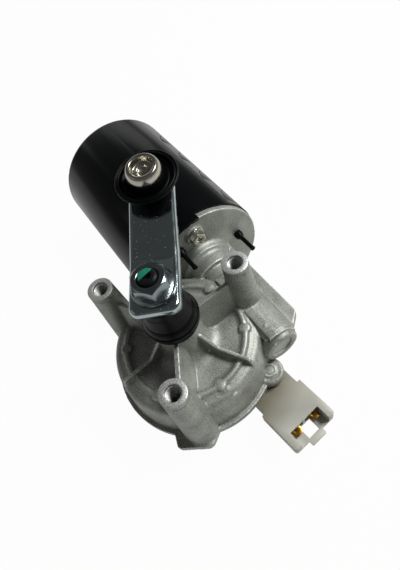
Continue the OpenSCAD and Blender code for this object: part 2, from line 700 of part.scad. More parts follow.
cone_low = crank_low_z - 0.6;
module output_shaft() color("#3a3d3f") difference() {
    union() {
        translate([0, 0, shaft_low]) cylinder(h = cone_low - shaft_low, r = shaft_r);
        translate([0, 0, cone_low - 0.01]) cylinder(h = crank_z - cone_low + 0.01,
            r1 = shaft_r, r2 = thread_r);
        translate([0, 0, crank_z - 0.01]) cylinder(h = shaft_top - crank_z - 0.79, r = thread_r);
        translate([0, 0, shaft_top - 0.81]) cylinder(h = 0.81, r1 = thread_r, r2 = thread_r - 0.8);
    }
    translate([0, 0, ring_z - 0.05]) ring(ring_t + 0.1, shaft_r + 2, shaft_r - 0.8);
    translate([0, 0, shaft_top - 2.4]) cylinder(h = 3, r1 = 0.6, r2 = 2.2);
}

module tower_bushes() color("#b08d57") for (z = [ceiling_z, bush_top - bush_len])
    translate([0, 0, z]) ring(bush_len, bush_r - seat, shaft_r + run);

module shaft_seal() color("#101212") translate([0, 0, tower_z - seal_t - 0.1]) rotate_extrude()
    polygon([[shaft_r + run, 0.3], [shaft_r + 1, 0], [bush_r - seat, 0],
             [bush_r - seat, seal_t], [shaft_r + 0.8, seal_t], [shaft_r + run, 0.8]]);

module retaining_ring() color("#6d7173") translate([0, 0, ring_z]) difference() {
    ring(ring_t, bush_r - 0.5, shaft_r - 0.8 + seat);
    translate([3, -2, -1]) cube([8, 4, ring_t + 2]);
}

module hub_washer() color("silver") translate([0, 0, hub_top])
    ring(ceiling_z - hub_top - 0.25, hub_boss_r - 0.3, shaft_r + seat);

lug_w = 5;
module drive_lugs(grow) for (i = [0:5]) rotate([0, 0, 60 * i])
    translate([hub_r - 3.5 - grow, -lug_w / 2 - grow]) square([6, lug_w + 2 * grow]);

module wheel_hub() color("#8b8f91") {
    translate([0, 0, disc_z]) ring(hub_top - disc_z, hub_boss_r, shaft_r + seat);
    translate([0, 0, wheel_low]) linear_extrude(3) difference() {
        circle(hub_r);
        circle(hub_boss_r - 0.5);
        drive_lugs(seat);
    }
}

// Involute tooth flanks, from the root circle to the tip
base_r = wheel_r * cos(pressure_angle);
function inv(r) = let (a = acos(base_r / r)) tan(a) * 180 / PI - a;
function tooth_half(r) = 90 / wheel_teeth + inv(wheel_r) - inv(r)
    - mesh_play / wheel_r * 180 / PI;
flank_r = [for (i = [0:3]) wheel_root_r + (wheel_tip_r - wheel_root_r) * i / 3];
wheel_turn = 90 + 180 / wheel_teeth;
wheel_twist = wheel_w * tan(lead) / wheel_r * 180 / PI;
web_r = wheel_root_r - 3;

module worm_wheel() color("#e9e7df") union() {
    translate([0, 0, wheel_low]) rotate([0, 0, wheel_turn - wheel_twist / 2])
        linear_extrude(wheel_w, twist = -wheel_twist, slices = 2) difference() {
            polygon([for (i = [0:wheel_teeth - 1]) let (c = i * 360 / wheel_teeth)
                each concat(
                    [for (r = flank_r) [r * cos(c - tooth_half(r)), r * sin(c - tooth_half(r))]],
                    [for (k = [3:-1:0]) let (r = flank_r[k])
                        [r * cos(c + tooth_half(r)), r * sin(c + tooth_half(r))]])]);
            circle(web_r, $fn = 72);
        }
    translate([0, 0, wheel_low]) linear_extrude(3.2) difference() {
        circle(web_r + 1);
        circle(hub_r + seat);
    }
    translate([0, 0, wheel_low]) linear_extrude(3) intersection() {
        circle(hub_r + 1);
        drive_lugs(0);
    }
    translate([0, 0, wheel_low + 3]) ring(2.2, hub_r + 3, hub_r - 4);
    for (i = [0:11]) rotate([0, 0, 30 * i]) translate([hub_r + 2, -0.8, wheel_low + 2])
        cube([web_r - hub_r - 1.4, 1.6, wheel_w - 3]);
}

// Brass track with its parking gap
module contact_disc() color("#b9953f") translate([0, 0, disc_z]) difference() {
    ring(disc_t, 28.5, 12.5);
    rotate([0, 0, 20]) translate([21, -5, -1]) cube([10, 10, 3]);
}

module arm_plan() union() {
    arm_c = 4.5;
    translate([-arm_end + arm_c, -crank_w / 2]) square([crank_r + arm_end - arm_c, crank_w]);
    translate([-arm_end, -crank_w / 2 + arm_c]) square([arm_c + 1, crank_w - 2 * arm_c]);
    for (s = [-1, 1]) translate([-arm_end + arm_c, s * (crank_w / 2 - arm_c)]) circle(arm_c);
    translate([crank_r, 0]) circle(crank_w / 2);
}

module on_stud() rotate([0, 0, crank_angle]) translate([bend_s, 0, crank_z])
    rotate([0, -crank_bend, 0]) translate([stud_s, 0, 0]) children();

module crank_arm() color("#b9c2cc") difference() {
    rotate([0, 0, crank_angle]) intersection() {
        translate([0, 0, crank_low_z - 5]) linear_extrude(30) arm_plan();
        rotate([90, 0, 0]) linear_extrude(crank_w + 2, center = true) polygon([
            [-arm_end - 1, crank_low_z], [bend_s + crank_t * tan(crank_bend / 2), crank_low_z],
            [90, crank_low_z + (90 - bend_s - crank_t * tan(crank_bend / 2)) * tan(crank_bend)],
            [90, crank_z + (90 - bend_s) * tan(crank_bend)], [bend_s, crank_z],
            [-arm_end - 1, crank_z]]);
    }
    translate([0, 0, cone_low]) cylinder(h = crank_z - cone_low,
        r1 = shaft_r + seat, r2 = thread_r + seat);
    translate([0, 0, crank_z - 1]) cylinder(h = 3, r = thread_r + seat);
    on_stud() translate([0, 0, -crank_t - 2]) cylinder(h = crank_t + 6, r = stud_r + seat);
}

module crank_nut() color("#b9c2cc") translate([0, 0, nut_z]) difference() {
    union() {
        cylinder(h = 1.4, r = nut_flange_d / 2);
        translate([0, 0, 1.39]) cylinder(h = 1.1, r1 = nut_flange_d / 2, r2 = nut_r - 0.3);
        intersection() {
            cylinder(h = nut_h, r = nut_r, $fn = 6);
            rotate_extrude() polygon([[0, 0], [nut_r + 1, 0], [nut_r + 1, nut_h - 2],
                [nut_af / 2 - 0.3, nut_h], [0, nut_h]]);
        }
    }
    translate([0, 0, -1]) cylinder(h = nut_h + 2, r = thread_r + seat);
    translate([0, 0, nut_h - 0.8]) cylinder(h = 1, r1 = thread_r, r2 = thread_r + 1.1);
}

stud_r = 5;
ball_rad = ball_d / 2;
ball_cut = 4.7;
collar_r = 6;
collar_h = ball_h - sqrt(ball_rad * ball_rad - collar_r * collar_r);
ball_a0 = -asin((ball_h - collar_h) / ball_rad);
ball_a1 = asin(ball_cut / ball_rad);
module ball_stud() color("#cfccc0") on_stud() rotate_extrude() polygon(concat(
    [[0, -crank_t - 1.6], [stud_r + 0.6, -crank_t - 1.6], [stud_r + 1.6, -crank_t - 0.8],
     [stud_r + 1.6, -crank_t], [stud_r, -crank_t], [stud_r, 0], [collar_r, 0]],
    arc(0, ball_h, ball_rad, ball_a0, ball_a1, 22),
    [[6.7, ball_h + ball_cut - 0.1], [6.4, ball_h + ball_cut - 0.6], [6.2, ball_h + 1.2],
     [4.6, ball_h + 1], [4.3, ball_h - 2.6], [2.4, ball_h - 3.6], [0, ball_h - 3.9]]));

cup_lip = 6.6;
module ball_dust_cup() color("#101212") on_stud() rotate_extrude() polygon(concat(
    [[collar_r + seat, 0.05], [9, 0.05], [9.6, 0.9]],
    arc(cup_r - 0.6, cup_lip - 0.6, 0.6, -40, 170, 6), [[cup_r - 1.15, cup_lip - 1.1]],
    arc(cup_r - 1.8, cup_lip - 0.5, 0.6, 0, 180, 5),
    [[cup_r - 3, cup_lip - 1.9], [cup_r - 4.5, cup_lip - 2.9], [10.4, 3.9], [9.8, 5.6]],
    [for (z = [7.2, 6, 4.5, 3.2, 2.4]) [sphere_r_at(z) + (z > 7 ? 0.5 : 0.05), z]],
    [[collar_r + seat, 2]]));
function sphere_r_at(z) = sqrt(ball_rad * ball_rad - (z - ball_h) * (z - ball_h));

// ---- Boot on the output tower ----

boot_top = crank_low_z - clear - 0.2;
boot_z = face_z + web_h + 0.1;
module tower_boot() color("#101212") rotate_extrude() polygon(concat(
    [[tower_r + 0.4, boot_z], [tower_r + 1.4, boot_z], [tower_r + 1.9, boot_z + 0.6],
     [tower_r + 1.9, boot_z + 1.6], [tower_r + 1.5, boot_z + 2], [tower_r + 2.7, boot_z + 2.5],
     [tower_r + 2.9, boot_z + 3.2], [tower_r + 2.7, boot_z + 3.9], [tower_r + 2.3, boot_z + 4.2],
     [tower_r + 3.2, boot_z + 4.7]],
    arc(tower_r + 2.3, boot_z + 7.1, 1.3, -50, 20, 4),
    arc(shaft_r + 1.4, boot_top - 20.5, tower_r + 2.9 - shaft_r - 1.4, 2, 42, 8),
    [[shaft_r + 4.6, boot_top - 9.6], [shaft_r + 4.5, boot_top - 8.7],
     [shaft_r + 5, boot_top - 8.2], [shaft_r + 4.9, boot_top - 3], [shaft_r + 3.6, boot_top - 0.8],
     [shaft_r + 2.8, boot_top], [shaft_r + clear, boot_top], [shaft_r + clear, boot_top - 2],
     [shaft_r + 2, boot_top - 3], [shaft_r + 2, boot_top - 12], [tower_r - 1.6, tower_z + 4],
     [tower_r - 1.6, tower_z], [tower_r + seat, tower_z], [tower_r + seat, tower_z - 0.8]]));

// ---- Connector and contacts ----

module at_plug() translate([plug_x, plug_y, 0]) rotate([0, 0, plug_turn]) children();

// Outline of the body in plan, with rounded corners at the mouth
module plug_plan() {
    r = 1.6;
    translate([0, -plug_w / 2]) square([plug_len - r, plug_w]);
    translate([plug_len - r - 0.01, -plug_w / 2 + r]) square([r + 0.01, plug_w - 2 * r]);
    for (s = [-1, 1]) translate([plug_len - r, s * (plug_w / 2 - r)]) circle(r);
    // Latch bridge
    translate([plug_len - 1, -4.9]) square([3.8 - 0.8, 9.8]);
    translate([plug_len + 1.9, -4.1]) square([0.9, 8.2]);
    for (s = [-1, 1]) translate([plug_len + 2, s * 4.1]) circle(0.8);
}

module connector_housing() color("#e6e7e0") at_plug() difference() {
    union() {
        translate([-neck_len, -neck_w / 2 + seat, plug_low + seat])
            cube([neck_len + 1, neck_w - 2 * seat, plug_h - 2 * seat]);
        translate([0, 0, plug_low]) linear_extrude(plug_h) plug_plan();
    }
    // Socket, its upper wall cut back, and the slot between the two prongs
    difference() {
        translate([5, -socket_w / 2, plug_low + plug_wall])
            cube([plug_len, socket_w, plug_h - 2 * plug_wall]);
        translate([4, -0.8, plug_low]) cube([plug_len - lip_len - 4, 1.6, plug_h]);
    }
    translate([plug_len - lip_len, -socket_w / 2, plug_top - plug_wall - 1])
        cube([20, socket_w, 10]);
    translate([plug_len - 0.01, -10, plug_top - 4.2]) cube([20, 20, 10]);
    translate([plug_len - lip_len, -slot_w / 2, plug_low - 1]) cube([lip_len - 1, slot_w, plug_h]);
    for (i = [0, 1]) translate([0, 0, blade_z - blade_t / 2 - seat])
        linear_extrude(blade_t + 2 * seat) blade_plan(i, 0.06);
    // Pocket for the head of the cover screw that also clamps the neck
    translate([-plug_x, -plug_y, 0]) rotate_about_plug() polar(cover_screw_r, ear_angles[0]) {
        translate([0, 0, plug_low - 1])
            cylinder(h = head_z - plug_low + 1, r = 5.6);
        translate([0, 0, plug_low - 1]) cylinder(h = plug_h + 2, r = cover_screw_d / 2 + 0.3);
    }
}

module rotate_about_plug() translate([plug_x, plug_y, 0]) rotate([0, 0, -plug_turn])
    translate([-plug_x, -plug_y, 0]) children();

// Plan of a blade with its tapered tip and the narrow tail that leads inwards
tail_y = [-8.6, -3.4];
module blade_plan(i, grow) {
    y = (i - 0.5) * blade_pitch;
    polygon([[-6 + grow, tail_y[i] - 1.3 - grow], [-2, y - blade_w / 2 - grow],
        [blade_tip - 1.8, y - blade_w / 2 - grow], [blade_tip, y - blade_w / 2 + 1.6],
        [blade_tip, y + blade_w / 2 - 1.6], [blade_tip - 1.8, y + blade_w / 2 + grow],
        [-2, y + blade_w / 2 + grow], [-6 - grow, tail_y[i] + 1.3 + grow]]);
    translate([-tail_len, tail_y[i] - 1.3 - grow]) square([tail_len - 5.9, 2.6 + 2 * grow]);
}

// Blades, their tails turned up to the contact carrier
tail_len = 19.6;
module connector_terminals() color("#b8933a") at_plug() for (i = [0, 1])
    translate([0, 0, blade_z - blade_t / 2]) {
        linear_extrude(blade_t) difference() {
            blade_plan(i, 0);
            translate([blade_tip - 4, (i - 0.5) * blade_pitch]) circle(0.9);
        }
        translate([-tail_len, tail_y[i] - 1.3, 0])
            cube([blade_t, 2.6, carrier_z - blade_z + blade_t / 2 + 1.6]);
    }

carrier_posts = [100, 220, 340];
carrier_post_r = 26;
carrier_z = joint_z - 2.5;
carrier_t = 2.4;
module contact_carrier() color("#2c2f30") translate([0, 0, carrier_z]) linear_extrude(carrier_t)
    difference() {
        union() {
            circle(15);
            for (a = carrier_posts) polar(carrier_post_r, a) circle(4.2);
            for (a = carrier_posts) rotate([0, 0, a]) translate([0, -3]) square([carrier_post_r, 6]);
        }
        circle(7);
    }

// Spring fingers that rub on the parking track
finger_r = [15, 19, 24];
module park_contacts() color("#b9953f") for (i = [0:2])
    rotate([0, 0, 100]) translate([0, (i - 1) * 5, carrier_z + carrier_t])
        rotate([90, 0, 0]) linear_extrude(2.4, center = true) let (
            h = disc_z - 0.25 - carrier_z - carrier_t, x1 = finger_r[i])
            polygon([[3, 0], [12, 0], [12, 0.5], [4.2, 0.5], [4.2, 1.2], [x1 - 1, h - 1.1],
                [x1, h - 0.6], [x1 + 0.6, h - 1.1], [x1 + 1, h - 0.8], [x1 + 0.2, h],
                [x1 - 0.6, h], [x1 - 1.4, h - 0.6], [3, 1.6]]);

gear_housing();
rear_cover();
cover_gasket();
cover_screws();
motor_yoke();
yoke_end_cap();
end_bush();
magnets();
magnet_clips();
neck_bush();
worm_end_bush();
thrust_plug();
tower_bushes();
shaft_seal();
tower_boot();
vent_plugs();
brush_plate_screws();
brush_plate();
brush_holders();
carbon_brushes();
brush_springs();
chokes();
connector_housing();
connector_terminals();
contact_carrier();
park_contacts();
output_shaft();
wheel_hub();
worm_wheel();
contact_disc();
hub_washer();
retaining_ring();
crank_arm();
crank_nut();
ball_stud();
ball_dust_cup();
armature_shaft();
armature_core();
armature_windings();
commutator();
commutator_hub();
thrust_ball();
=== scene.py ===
# %% [markdown]
# # A windscreen wiper motor
# The motor is a die-cast worm gearbox with a black enamelled motor can on one side, a zinc
# plated crank arm on its output shaft, and a white two-blade connector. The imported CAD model
# gives every part its place, so this lesson only gives the parts their real finish, and makes
# again what a solid modeller can't: soft cast edges, rubber, threads and paint.

# %% Load the fixed frame
import json
import math

import bpy
from mathutils import Matrix, Vector


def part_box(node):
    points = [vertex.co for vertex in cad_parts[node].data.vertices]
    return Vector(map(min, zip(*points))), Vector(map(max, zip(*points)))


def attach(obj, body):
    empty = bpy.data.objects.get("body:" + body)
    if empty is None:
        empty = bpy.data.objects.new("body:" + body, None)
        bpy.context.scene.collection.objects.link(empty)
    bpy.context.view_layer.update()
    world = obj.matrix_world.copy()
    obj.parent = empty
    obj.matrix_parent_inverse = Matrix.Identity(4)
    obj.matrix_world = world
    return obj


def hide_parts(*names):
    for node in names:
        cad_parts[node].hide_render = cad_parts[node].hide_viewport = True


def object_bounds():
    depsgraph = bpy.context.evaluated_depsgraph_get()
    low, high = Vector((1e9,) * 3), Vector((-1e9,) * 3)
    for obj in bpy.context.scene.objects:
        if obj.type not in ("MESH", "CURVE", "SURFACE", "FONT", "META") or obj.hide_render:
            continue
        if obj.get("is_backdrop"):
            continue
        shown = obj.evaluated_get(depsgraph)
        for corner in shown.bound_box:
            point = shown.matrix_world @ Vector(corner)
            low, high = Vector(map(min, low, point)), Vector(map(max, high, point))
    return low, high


MM = 0.001
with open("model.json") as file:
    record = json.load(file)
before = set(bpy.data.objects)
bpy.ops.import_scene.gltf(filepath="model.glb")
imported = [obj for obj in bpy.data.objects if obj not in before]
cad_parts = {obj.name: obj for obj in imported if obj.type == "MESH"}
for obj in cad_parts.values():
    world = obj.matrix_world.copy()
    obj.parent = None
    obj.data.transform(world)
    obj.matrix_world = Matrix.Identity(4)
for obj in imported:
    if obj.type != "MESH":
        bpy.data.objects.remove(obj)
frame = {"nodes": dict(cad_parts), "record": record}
cad_low, cad_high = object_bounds()
nodes = frame["nodes"]
node_body = {n: b for b, names in frame["record"]["behaviour"]["bodies"].items() for n in names}
print("CAD nodes:", len(nodes), "box in mm:", [round(v / MM, 1) for v in (*cad_low, *cad_high)])

# %% [markdown]
# The camera stands above the open side of the gearbox and looks down past the crank arm to the
# motor can. It is set by its three axes instead of by angles, because the axes say at once
# which way is right and which way is up in the picture.

# %% Camera
CAMERA_AT = Vector((113.835, -11.707, 181.429)) * MM
CAMERA_RIGHT = Vector((0.561687, 0.798118, -0.217981))
CAMERA_DOWN = Vector((0.635719, -0.584959, -0.503671))
CAMERA_AHEAD = Vector((-0.529499, 0.144331, -0.835942))
FOCAL_SHARE, SENSOR = 458.638 / 570, 36.0

lens = bpy.data.cameras.new("studio_camera")
lens.sensor_fit, lens.sensor_width, lens.sensor_height = "AUTO", SENSOR, SENSOR
lens.lens = FOCAL_SHARE * SENSOR
lens.clip_start, lens.clip_end = 0.01, 20
camera = bpy.data.objects.new("studio_camera", lens)
bpy.context.scene.collection.objects.link(camera)
turn = Matrix((CAMERA_RIGHT, -CAMERA_DOWN, -CAMERA_AHEAD)).transposed().to_4x4()
camera.matrix_world = Matrix.Translation(CAMERA_AT) @ turn
bpy.context.scene.camera = camera
bpy.context.scene.view_settings.view_transform = "Standard"
print("lens:", round(lens.lens, 2), "mm")

# %% [markdown]
# Every finish is a small node tree. One function turns a written colour into the linear values
# that the shader needs, and one adds a node, sets its sockets and links what is given to it.

# %% Colour and node helpers
def colour(code):
    """Linear red, green, blue and alpha of an sRGB hex code."""
    parts = [int(code[i:i + 2], 16) / 255 for i in (1, 3, 5)]
    return [c / 12.92 if c <= 0.04045 else ((c + 0.055) / 1.055) ** 2.4 for c in parts] + [1.0]


def add(tree, kind, sockets=None, **settings):
    """A shader node with its settings; a socket takes a value or another node's output."""
    made = tree.nodes.new("ShaderNode" + kind)
    for name, value in settings.items():
        setattr(made, name, value)
    for name, value in (sockets or {}).items():
        if isinstance(value, bpy.types.NodeSocket):
            tree.links.new(value, made.inputs[name])
        else:
            made.inputs[name].default_value = value
    return made


def finish(name, base, metallic=0.0, roughness=0.5, **sockets):
    """A new material: its tree, its shader, and the object's own coordinates."""
    material = bpy.data.materials.new(name)
    material.use_nodes = True
    tree = material.node_tree
    tree.nodes.clear()
    shader = add(tree, "BsdfPrincipled", {"Base Color": colour(base), "Metallic": metallic,
                                          "Roughness": roughness, **sockets})
    add(tree, "OutputMaterial", {"Surface": shader.outputs["BSDF"]})
    place = add(tree, "TexCoord").outputs["Object"]
    return material, tree, shader, place


def noise(tree, place, size, detail=4.0, **sockets):
    """Clouds of noise whose features are about that many millimetres across."""
    return add(tree, "TexNoise", {"Vector": place, "Scale": 1 / (size * MM), "Detail": detail,
                                  **sockets})


def dull_by(tree, shader, clouds, low, high, **span):
    """The clouds carry the roughness between two values."""
    haze = add(tree, "MapRange", {"Value": clouds.outputs[0], "To Min": low, "To Max": high,
                                  **span})
    tree.links.new(haze.outputs[0], shader.inputs["Roughness"])


def pit_by(tree, shader, clouds, strength, depth):
    """The clouds raise and pit the surface, by that many millimetres."""
    bump = add(tree, "Bump", {"Height": clouds.outputs[0], "Strength": strength,
                              "Distance": depth * MM})
    tree.links.new(bump.outputs[0], shader.inputs["Normal"])


# %% [markdown]
# The floor is a pale sheet. The camera sees it almost white, shiny parts see it about half as
# bright, and for all other light it is an ordinary matt sheet, so it keeps the soft shadow under
# the motor. It could simply be lit until it is white, but that light would bleach the motor too.
# Three soft boxes and a dim studio round them give the metal something bright and something dark
# to show.

# %% Floor
SHEET, WHITE, MIRRORED_WHITE = 3.0, 0.97, 0.5
bpy.ops.object.select_all(action="DESELECT")
bpy.ops.mesh.primitive_plane_add(size=SHEET, location=(0, 0, cad_low.z))
floor = bpy.context.object
floor.name = "floor_sheet"
paper, tree, shader, place = finish("matt_white_paper", "#d6d6d3", roughness=0.9)
rays = add(tree, "LightPath")
mirrored = add(tree, "Math", {0: rays.outputs["Is Glossy Ray"],
                              1: rays.outputs["Is Transmission Ray"]}, operation="MAXIMUM")
mirrored = add(tree, "Math", {0: mirrored.outputs[0], 1: MIRRORED_WHITE},
               operation="MULTIPLY")
seen = add(tree, "Math", {0: rays.outputs["Is Camera Ray"], 1: WHITE}, operation="MULTIPLY")
share = add(tree, "Math", {0: seen.outputs[0], 1: mirrored.outputs[0]}, operation="MAXIMUM")
glow = add(tree, "Emission", {"Color": (1, 1, 1, 1), "Strength": 1.0})
mix = add(tree, "MixShader", {0: share.outputs[0], 1: shader.outputs["BSDF"],
                              2: glow.outputs[0]})
tree.links.new(mix.outputs[0], tree.nodes["Material Output"].inputs["Surface"])
floor.data.materials.append(paper)
floor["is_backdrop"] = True

# %% Studio light
DIM_LOW, DIM_HIGH = 0.14, 0.07
world = bpy.data.worlds.new("dim_studio")
bpy.context.scene.world = world
world.use_nodes = True
world.node_tree.nodes.clear()
way = add(world.node_tree, "TexCoord").outputs["Generated"]
height = add(world.node_tree, "SeparateXYZ", {0: way}).outputs["Z"]
shade = add(world.node_tree, "MapRange", {"Value": height, "From Min": 0.0, "From Max": 0.85,
                                          "To Min": DIM_LOW, "To Max": DIM_HIGH})
rays = add(world.node_tree, "LightPath")
level = add(world.node_tree, "Mix", {"Factor": rays.outputs["Is Camera Ray"],
                                     "A": shade.outputs[0], "B": WHITE})
air = add(world.node_tree, "Background", {"Color": (1, 1, 1, 1),
                                          "Strength": level.outputs[0]})
add(world.node_tree, "OutputWorld", {"Surface": air.outputs[0]})


LAMP_AIM, LAMP_REACH = Vector((-30, 20, -40)) * MM, 1.2


def soft_box(name, azimuth, elevation, width, tall, power):
    """An area lamp aimed at the gearbox; azimuth is from +X, elevation above the floor."""
    lamp = bpy.data.lights.new(name, "AREA")
    lamp.shape, lamp.size, lamp.size_y, lamp.energy = "RECTANGLE", width, tall, power
    holder = bpy.data.objects.new(name, lamp)
    a, e = math.radians(azimuth), math.radians(elevation)
    away = Vector((math.cos(a) * math.cos(e), math.sin(a) * math.cos(e), math.sin(e)))
    holder.location = LAMP_AIM + away * LAMP_REACH
    holder.rotation_mode = "QUATERNION"
    holder.rotation_quaternion = (-away).to_track_quat("-Z", "Y")
    bpy.context.scene.collection.objects.link(holder)


soft_box("soft_box_right", 76, 49, 0.45, 0.45, 14.0)
soft_box("soft_box_far", 165, 18, 1.3, 0.4, 1.2)
soft_box("soft_box_left", 250, 35, 0.8, 0.5, 0.35)

# %% [markdown]
# ## Metals
# The gearbox is aluminium, pressure die cast and then lightly shot blasted. That leaves a
# dull grey skin with a fine grain and slightly darker flow marks, and only the faces that are
# machined afterwards, on top of the three posts, are bright.

# %% Die-cast aluminium, plain and with painted shade in its creases and painted highlights on its edges
EDGE_GAIN = 1.95
skins = []
for skin in ("die_cast_aluminium", "die_cast_aluminium_worn"):
    material, tree, shader, place = finish(skin, "#9c9e98", 0.6, 0.55)
    flow = noise(tree, place, 11, 3.0)
    grit = noise(tree, place, 0.75, 3.0, Roughness=0.7)
    both = add(tree, "Mix", {"Factor": 0.7, "A": flow.outputs[0], "B": grit.outputs[0]})
    tint = add(tree, "ValToRGB", {"Fac": both.outputs[0]})
    tint.color_ramp.elements[0].position = 0.36
    tint.color_ramp.elements[0].color = colour("#787b75")
    tint.color_ramp.elements[1].position = 0.64
    tint.color_ramp.elements[1].color = colour("#bec1b9")
    result = tint.outputs[0]
    # Painted shade and highlight: the mesh's curvature darkens the hollow creases and lightens
    # the sharp edges of the casting
    if skin.endswith("worn"):
        curve = add(tree, "NewGeometry").outputs["Pointiness"]
        depth = add(tree, "ValToRGB", {"Fac": curve})
        steps = depth.color_ramp.elements
        steps[0].position, steps[0].color = 0.43, colour("#4e504c")
        steps[1].position, steps[1].color = 0.485, colour("#bbbbbb")
        for spot, shade in ((0.515, "#bbbbbb"), (0.56, "#ffffff")):
            steps.new(spot).color = colour(shade)
        crease_shade = add(tree, "Mix", {"Factor": 1.0, "A": result, "B": depth.outputs[0]},
                  data_type="RGBA", blend_type="MULTIPLY")
        lift = add(tree, "Mix", {"Factor": 1.0, "A": crease_shade.outputs["Result"],
                                 "B": (EDGE_GAIN, EDGE_GAIN, EDGE_GAIN, 1)},
                   data_type="RGBA", blend_type="MULTIPLY")
        result = lift.outputs["Result"]
    tree.links.new(result, shader.inputs["Base Color"])
    pit_by(tree, shader, grit, 0.34, 0.18)
    dull_by(tree, shader, grit, 0.44, 0.64)
    skins.append(material)
cast, worn_cast = skins

# %% Machined faces of the casting
milled, tree, shader, place = finish("machined_aluminium", "#c3c5c2", 0.55, 0.5)
specks = noise(tree, place, 0.55)
tint = add(tree, "ValToRGB", {"Fac": specks.outputs[0]})
tint.color_ramp.elements[0].position, tint.color_ramp.elements[0].color = 0.36, colour("#8d8f8b")
tint.color_ramp.elements[1].position, tint.color_ramp.elements[1].color = 0.6, colour("#d6d8d4")
tree.links.new(tint.outputs[0], shader.inputs["Base Color"])
pit_by(tree, shader, specks, 0.3, 0.08)

# %% The tapped holes, oily, with painted shade: their walls are coloured darker than the casting
bore, tree, shader, place = finish("bore_aluminium_painted_shade", "#6b6c68", 1.0, 0.34)
dull_by(tree, shader, noise(tree, place, 0.8, 3.0), 0.26, 0.5)

# %% Zinc plated steel, with a little dust on it
PLATE, DUST = "#adb9bc", "#eef2f3"
zinc, tree, shader, place = finish("bright_zinc_plate", PLATE, 1.0, 0.22)
dull_by(tree, shader, noise(tree, place, 6, 5.0), 0.1, 0.2,
        **{"From Min": 0.3, "From Max": 0.7})
specks = add(tree, "TexVoronoi", {"Vector": place, "Scale": 1 / (0.85 * MM)})
dot = add(tree, "MapRange", {"Value": specks.outputs["Distance"], "From Min": 0.06,
                             "From Max": 0.2, "To Min": 0.8, "To Max": 0.0})
chosen = add(tree, "SeparateColor", {0: specks.outputs["Color"]})
few = add(tree, "Math", {0: chosen.outputs[0], 1: 0.86}, operation="GREATER_THAN")
dust = add(tree, "Math", {0: dot.outputs[0], 1: few.outputs[0]}, operation="MULTIPLY")
tint = add(tree, "Mix", {"Factor": dust.outputs[0], "A": colour(PLATE),
                         "B": colour(DUST)}, data_type="RGBA")
tree.links.new(tint.outputs["Result"], shader.inputs["Base Color"])
bare = add(tree, "Math", {0: 1.0, 1: dust.outputs[0]}, operation="SUBTRACT")
tree.links.new(bare.outputs[0], shader.inputs["Metallic"])
pit_by(tree, shader, noise(tree, place, 0.9, 2.0), 0.08, 0.05)

oiled_zinc, tree, shader, place = finish("oiled_zinc_plate", "#8a9395", 1.0, 0.2)
dull_by(tree, shader, noise(tree, place, 2.5), 0.12, 0.3)

dull_zinc, tree, shader, place = finish("dull_zinc_plate", "#a9aba4", 1.0, 0.4)
cloud = noise(tree, place, 1.6)
dull_by(tree, shader, cloud, 0.26, 0.5)
pit_by(tree, shader, cloud, 0.2, 0.06)

# %% Black enamel on the motor can
enamel, tree, shader, place = finish("black_enamel", "#030506", 0.0, 0.22,
                                     **{"Specular IOR Level": 0.22})
pit_by(tree, shader, noise(tree, place, 3, 2.0), 0.15, 0.06)

# %% Nickel plated steel
nickel, tree, shader, place = finish("nickel_plated_steel", "#b9b6a9", 1.0, 0.3)
dull_by(tree, shader, noise(tree, place, 2), 0.16, 0.3)

# %% Bare, oiled steel and brass
steel, tree, shader, place = finish("oiled_bare_steel", "#6e7072", 1.0, 0.34)
dull_by(tree, shader, noise(tree, place, 1.5), 0.24, 0.46)

black_steel, tree, shader, place = finish("black_oxide_steel", "#17191b", 0.6, 0.42)
dull_by(tree, shader, noise(tree, place, 1), 0.3, 0.55)

brass, tree, shader, place = finish("stamped_brass", "#9c7636", 1.0, 0.34)
dull_by(tree, shader, noise(tree, place, 1.2), 0.2, 0.42)

# %% [markdown]
# ## Rubber and plastic
# The boot, the ball's cup and the vents are moulded black rubber, which is matt but not dead:
# it shows a soft grey sheen where it turns away. The connector is natural nylon, so a little
# light goes into it and its thin walls never look quite dark.

# %% Rubber
rubber, tree, shader, place = finish("moulded_rubber", "#020304", 0.0, 0.4,
                                     **{"Specular IOR Level": 0.14})
pit_by(tree, shader, noise(tree, place, 0.8, 3.0), 0.15, 0.05)
dull_by(tree, shader, noise(tree, place, 7, 3.0), 0.3, 0.5)

# %% Natural and black nylon
PAINTED_SHADE_FROM, PAINTED_SHADE_TO = 47, 62
nylons = []
for nylon in ("natural_nylon", "natural_nylon_soiled"):
    material, tree, shader, place = finish(nylon, "#c6c6be", 0.0, 0.38,
                                           **{"Subsurface Weight": 0.2,
                                              "Subsurface Scale": 1.0 * MM,
                                              "Subsurface Radius": (1.0, 0.95, 0.85)})
    pit_by(tree, shader, noise(tree, place, 1.4, 3.0), 0.1, 0.05)
    # Painted shade: the connector's colour turns a darker brownish grey nearer the middle of the
    # gearbox, between 62 and 47 mm from it
    if nylon.endswith("soiled"):
        flat = add(tree, "VectorMath", {0: place, 1: (1, 1, 0)}, operation="MULTIPLY")
        far = add(tree, "VectorMath", {0: flat.outputs[0]}, operation="LENGTH")
        case_shade = add(tree, "MapRange", {"Value": far.outputs["Value"], "From Min": PAINTED_SHADE_FROM * MM,
                                       "From Max": PAINTED_SHADE_TO * MM})
        tint = add(tree, "ValToRGB", {"Fac": case_shade.outputs[0]})
        tint.color_ramp.elements[0].color = colour("#8a8573")
        tint.color_ramp.elements[1].color = colour("#bdbcb1")
        tree.links.new(tint.outputs[0], shader.inputs["Base Color"])
    nylons.append(material)
nylon, soiled_nylon = nylons

black_nylon, tree, shader, place = finish("black_glass_filled_nylon", "#18191a", 0.0, 0.5)
pit_by(tree, shader, noise(tree, place, 0.6), 0.25, 0.06)

